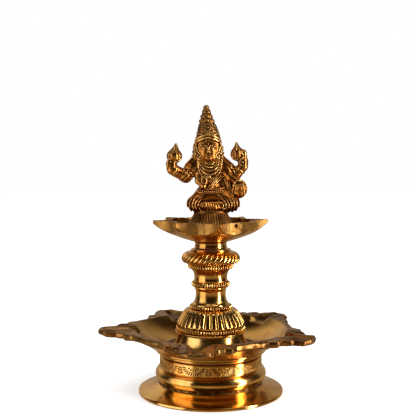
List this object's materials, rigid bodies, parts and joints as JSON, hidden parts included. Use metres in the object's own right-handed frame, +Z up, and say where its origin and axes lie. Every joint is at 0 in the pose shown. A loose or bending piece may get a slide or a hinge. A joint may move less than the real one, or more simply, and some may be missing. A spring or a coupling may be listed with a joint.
{
  "type": "standing oil lamp",
  "caption": "Standing cast brass oil lamp: hollow round base, wide spouted dish, beaded stem, small star-shaped dish and a seated goddess figure, all screwed together.",
  "frame": {"origin": "on the lamp's vertical axis, in the plane of the rim it rests on", "axes": "+Z up along the stem's axis; -Y is the front, which the figure faces; +X is the viewer's right"},
  "size_m": [0.1685, 0.1666, 0.228],
  "materials": {
    "polished_brass": "bright polished cast brass, dark in the crevices",
    "dish_brass": "turned and satin inside, as cast with brown patina on rim and edges",
    "figure_brass": "cast brass, buffed on the high places, dark brown in the crevices",
    "stud_brass": "machined thread, dull",
    "nut_brass": "machined, dull",
    "leather": "thin oiled leather sealing ring"
  },
  "bodies": {
    "base": {"base_casting": "polished_brass", "base_stud": "stud_brass", "base_lock_nut": "nut_brass", "base_lock_washer": "nut_brass"},
    "lower_dish_seal": {"lower_dish_gasket": "leather"},
    "lower_dish": {"lower_dish": "dish_brass", "lower_dish_stud": "stud_brass"},
    "stem_seal": {"stem_gasket": "leather"},
    "stem": {"stem_casting": "polished_brass", "stem_stud": "stud_brass"},
    "upper_dish_seal": {"upper_dish_gasket": "leather"},
    "upper_dish": {"upper_dish": "dish_brass", "figure_stud": "stud_brass"},
    "figure_seal": {"figure_gasket": "leather"},
    "figure": {"goddess_figure": "figure_brass"}
  },
  "joints": [
    {"name": "lower_dish_turn", "type": "hinge", "parent": "base", "child": "lower_dish_seal", "pos_m": [0, 0, 0.03], "axis": [0, 0, 1], "range_deg": [0, 1800]},
    {"name": "lower_dish_lift", "type": "slide", "parent": "lower_dish_seal", "child": "lower_dish", "axis": [0, 0, 1], "range_m": [0, 0.008]},
    {"name": "stem_turn", "type": "hinge", "parent": "lower_dish", "child": "stem_seal", "pos_m": [0, 0, 0.0356], "axis": [0, 0, 1], "range_deg": [0, 1800]},
    {"name": "stem_lift", "type": "slide", "parent": "stem_seal", "child": "stem", "axis": [0, 0, 1], "range_m": [0, 0.008]},
    {"name": "upper_dish_turn", "type": "hinge", "parent": "stem", "child": "upper_dish_seal", "pos_m": [0, 0, 0.1144], "axis": [0, 0, 1], "range_deg": [0, 1800]},
    {"name": "upper_dish_lift", "type": "slide", "parent": "upper_dish_seal", "child": "upper_dish", "axis": [0, 0, 1], "range_m": [0, 0.008]},
    {"name": "figure_turn", "type": "hinge", "parent": "upper_dish", "child": "figure_seal", "pos_m": [0, 0, 0.126], "axis": [0, 0, 1], "range_deg": [0, 1800]},
    {"name": "figure_lift", "type": "slide", "parent": "figure_seal", "child": "figure", "axis": [0, 0, 1], "range_m": [0, 0.008]}
  ],
  "couplings": [
    {"joint": "lower_dish_lift", "follows": "lower_dish_turn", "m_per_rad": 0.00025464},
    {"joint": "stem_lift", "follows": "stem_turn", "m_per_rad": 0.00025464},
    {"joint": "upper_dish_lift", "follows": "upper_dish_turn", "m_per_rad": 0.00025464},
    {"joint": "figure_lift", "follows": "figure_turn", "m_per_rad": 0.00025464}
  ]
}
